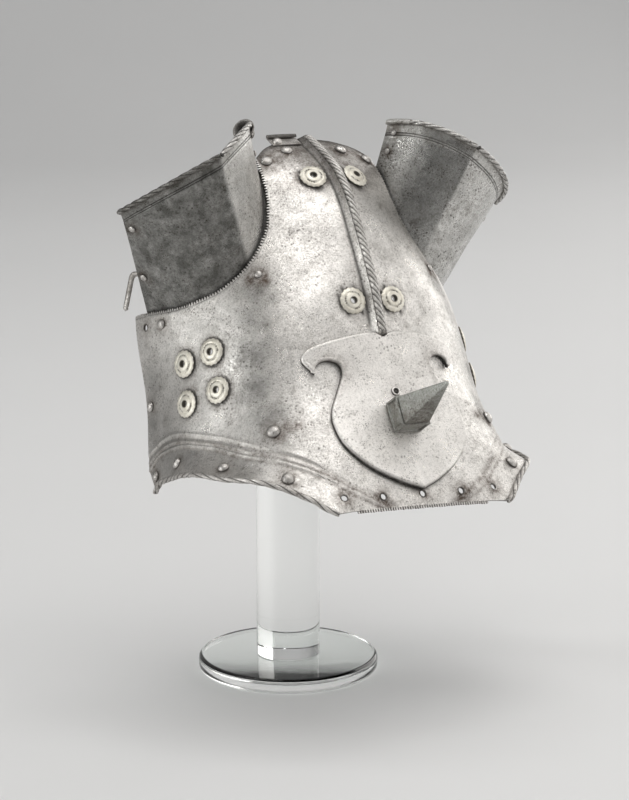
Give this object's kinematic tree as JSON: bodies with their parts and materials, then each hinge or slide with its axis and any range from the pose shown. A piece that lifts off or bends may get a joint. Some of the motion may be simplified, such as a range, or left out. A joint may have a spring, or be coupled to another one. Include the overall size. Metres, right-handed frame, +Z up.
{
  "type": "demi shaffron on display stand",
  "caption": "Steel half head defence for a horse, with open ear guards, rosettes, shield and spike, on a clear post and disc.",
  "frame": {"origin": "centre of the underside of the stand's disc", "axes": "+Z up, the face looks along -Y, and +X is to the right of someone who faces it"},
  "size_m": [0.3425, 0.27, 0.4451],
  "materials": {
    "plate_steel": "satin, pitted and stained",
    "rivet_steel": "worn satin",
    "rosette_metal": "pale, worn",
    "clear_acrylic": "polished clear plastic"
  },
  "bodies": {
    "root": {"main_plate": "plate_steel", "ear_guard_left": "plate_steel", "ear_guard_right": "plate_steel", "escutcheon": "plate_steel", "spike_socket": "plate_steel", "spike": "plate_steel", "rosette_top_left": "rosette_metal", "rosette_mid_left": "rosette_metal", "rosette_cheek_front_upper_left": "rosette_metal", "rosette_cheek_front_lower_left": "rosette_metal", "rosette_cheek_rear_upper_left": "rosette_metal", "rosette_cheek_rear_lower_left": "rosette_metal", "rosette_top_right": "rosette_metal", "rosette_mid_right": "rosette_metal", "rosette_cheek_front_upper_right": "rosette_metal", "rosette_cheek_front_lower_right": "rosette_metal", "rosette_cheek_rear_upper_right": "rosette_metal", "rosette_cheek_rear_lower_right": "rosette_metal", "rivet_poll_inner_left": "rivet_steel", "rivet_poll_outer_left": "rivet_steel", "rivet_guard_front_left": "rivet_steel", "rivet_cheek_top_left": "rivet_steel", "rivet_brow_left": "rivet_steel", "rivet_rear_edge_left": "rivet_steel", "rivet_flange_1_left": "rivet_steel", "rivet_flange_2_left": "rivet_steel", "rivet_flange_3_left": "rivet_steel", "rivet_flange_4_left": "rivet_steel", "rivet_guard_inner_low_left": "rivet_steel", "rivet_guard_inner_high_left": "rivet_steel", "rivet_guard_outer_low_left": "rivet_steel", "rivet_guard_outer_high_left": "rivet_steel", "rivet_poll_inner_right": "rivet_steel", "rivet_poll_outer_right": "rivet_steel", "rivet_guard_front_right": "rivet_steel", "rivet_cheek_top_right": "rivet_steel", "rivet_brow_right": "rivet_steel", "rivet_rear_edge_right": "rivet_steel", "rivet_flange_1_right": "rivet_steel", "rivet_flange_2_right": "rivet_steel", "rivet_flange_3_right": "rivet_steel", "rivet_flange_4_right": "rivet_steel", "rivet_guard_inner_low_right": "rivet_steel", "rivet_guard_inner_high_right": "rivet_steel", "rivet_guard_outer_low_right": "rivet_steel", "rivet_guard_outer_high_right": "rivet_steel", "poll_hinge_leaf": "plate_steel", "rivet_poll_hinge": "rivet_steel", "strap_end": "rivet_steel", "stand_disc": "clear_acrylic", "stand_post": "clear_acrylic"}
  },
  "joints": []
}
